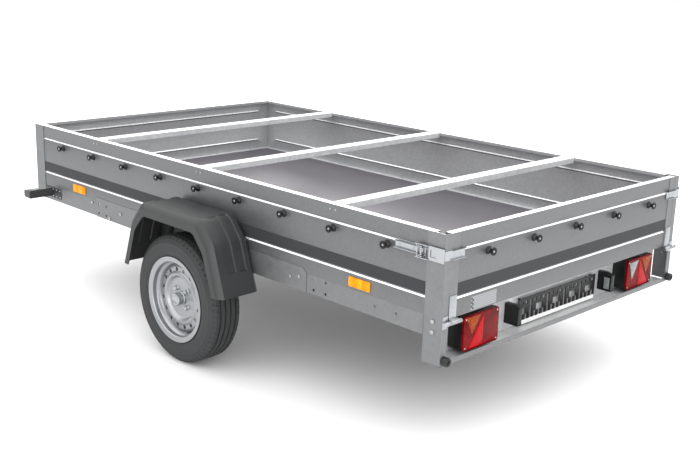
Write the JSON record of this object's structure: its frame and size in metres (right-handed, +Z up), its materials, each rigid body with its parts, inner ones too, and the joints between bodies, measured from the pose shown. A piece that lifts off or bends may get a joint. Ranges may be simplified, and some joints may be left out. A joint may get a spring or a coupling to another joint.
{
  "type": "livestock trailer",
  "caption": "Single-axle flat-bed box trailer with low galvanised sides, cross bars, drop tailgate, corner latches, rubber suspension and V drawbar.",
  "frame": {"origin": "on the ground below the middle of the whole length and width", "axes": "+X forward towards the coupling, +Y to the trailer's left, +Z up"},
  "size_m": [4.112, 1.97, 0.806],
  "materials": {
    "galvanised_sheet": "spangled zinc",
    "galvanised_frame": "hot-dip zinc",
    "zinc_plating": "bright zinc",
    "film_faced_plywood": "smooth film",
    "black_plastic": "fine moulded grain",
    "black_rubber": "matt",
    "tyre_rubber": "matt",
    "silver_rim": "silver paint",
    "red_lens": "prismatic",
    "amber_lens": "prismatic",
    "clear_lens": "prismatic",
    "grey_film": "satin vinyl",
    "silver_label": "satin foil",
    "black_handle": "gloss paint"
  },
  "bodies": {
    "chassis": {"side_panel_left": "galvanised_sheet", "side_panel_right": "galvanised_sheet", "front_panel": "galvanised_sheet", "corner_posts": "galvanised_frame", "side_rail_left": "galvanised_frame", "side_rail_right": "galvanised_frame", "axle_plates": "galvanised_frame", "crossmembers": "galvanised_frame", "rear_beam": "galvanised_frame", "floor_panel": "film_faced_plywood", "floor_strips": "galvanised_sheet", "cross_bars": "galvanised_sheet", "mudguard_left": "black_plastic", "mudguard_right": "black_plastic", "axle_tube": "galvanised_frame", "axle_brackets": "galvanised_frame", "torsion_rubbers": "black_rubber", "drawbar_arm_left": "galvanised_frame", "drawbar_arm_right": "galvanised_frame", "drawbar_nose": "galvanised_frame", "coupling_body": "galvanised_frame", "coupling_clamp": "galvanised_frame", "drawbar_bolts": "zinc_plating", "lamp_housings": "black_plastic", "red_lenses": "red_lens", "amber_lenses": "amber_lens", "clear_lenses": "clear_lens", "plate_holder": "black_plastic", "plate_lamps": "black_plastic", "side_reflectors": "amber_lens", "marker_brackets": "black_plastic", "tarp_buttons": "black_plastic", "frame_bolts": "zinc_plating", "buffers": "black_rubber", "side_stripes": "grey_film", "hinge_brackets": "zinc_plating", "latch_bases": "zinc_plating"},
    "latch_lever_left": {"latch_lever_left": "zinc_plating"},
    "latch_link_left": {"latch_link_left": "zinc_plating"},
    "suspension_left": {"swing_arm_left": "galvanised_frame"},
    "wheel_left": {"hub_left": "galvanised_frame", "rim_left": "silver_rim", "wheel_bolts_left": "zinc_plating", "tyre_left": "tyre_rubber"},
    "latch_lever_right": {"latch_lever_right": "zinc_plating"},
    "latch_link_right": {"latch_link_right": "zinc_plating"},
    "suspension_right": {"swing_arm_right": "galvanised_frame"},
    "wheel_right": {"hub_right": "galvanised_frame", "rim_right": "silver_rim", "wheel_bolts_right": "zinc_plating", "tyre_right": "tyre_rubber"},
    "tailgate": {"tailgate_panel": "galvanised_sheet", "tailgate_ends": "galvanised_frame", "hinge_straps": "zinc_plating", "latch_keepers": "zinc_plating", "tailgate_buttons": "black_plastic", "tailgate_stripe": "grey_film", "rating_label": "silver_label"},
    "coupling_handle": {"coupling_handle": "black_handle"}
  },
  "joints": [
    {"name": "tailgate_hinge", "type": "hinge", "parent": "chassis", "child": "tailgate", "pos_m": [-2.045, 0, 0.493], "axis": [0, -1, 0], "range_deg": [0, 180]},
    {"name": "latch_lever_left_swing", "type": "hinge", "parent": "chassis", "child": "latch_lever_left", "pos_m": [-1.93, 0.785, 0.731], "axis": [0, 0, 1], "range_deg": [0, 110]},
    {"name": "latch_link_left_shift", "type": "hinge", "parent": "latch_lever_left", "child": "latch_link_left", "pos_m": [-1.912, 0.785, 0.731], "axis": [0, 0, 1], "range_deg": [-110, 0]},
    {"name": "suspension_left_travel", "type": "hinge", "parent": "chassis", "child": "suspension_left", "pos_m": [-0.58906, 0.71, 0.35947], "axis": [0, 1, 0], "range_deg": [-9, 20], "stiffness_Nm_per_rad": 1110, "springref_deg": -8.54},
    {"name": "wheel_left_spin", "type": "hinge", "parent": "suspension_left", "child": "wheel_left", "pos_m": [-0.724, 0.8745, 0.2735], "axis": [0, 1, 0], "continuous": true},
    {"name": "latch_lever_right_swing", "type": "hinge", "parent": "chassis", "child": "latch_lever_right", "pos_m": [-1.93, -0.785, 0.731], "axis": [0, 0, -1], "range_deg": [0, 110]},
    {"name": "latch_link_right_shift", "type": "hinge", "parent": "latch_lever_right", "child": "latch_link_right", "pos_m": [-1.912, -0.785, 0.731], "axis": [0, 0, -1], "range_deg": [-110, 0]},
    {"name": "suspension_right_travel", "type": "hinge", "parent": "chassis", "child": "suspension_right", "pos_m": [-0.58906, -0.71, 0.35947], "axis": [0, 1, 0], "range_deg": [-9, 20], "stiffness_Nm_per_rad": 1110, "springref_deg": -8.54},
    {"name": "wheel_right_spin", "type": "hinge", "parent": "suspension_right", "child": "wheel_right", "pos_m": [-0.724, -0.8745, 0.2735], "axis": [0, 1, 0], "continuous": true},
    {"name": "coupling_handle_lift", "type": "hinge", "parent": "chassis", "child": "coupling_handle", "pos_m": [1.99, 0, 0.466], "axis": [0, 1, 0], "range_deg": [0, 45]}
  ],
  "couplings": [
    {"joint": "latch_link_left_shift", "follows": "latch_lever_left_swing", "ratio": -1},
    {"joint": "latch_link_right_shift", "follows": "latch_lever_right_swing", "ratio": -1}
  ]
}
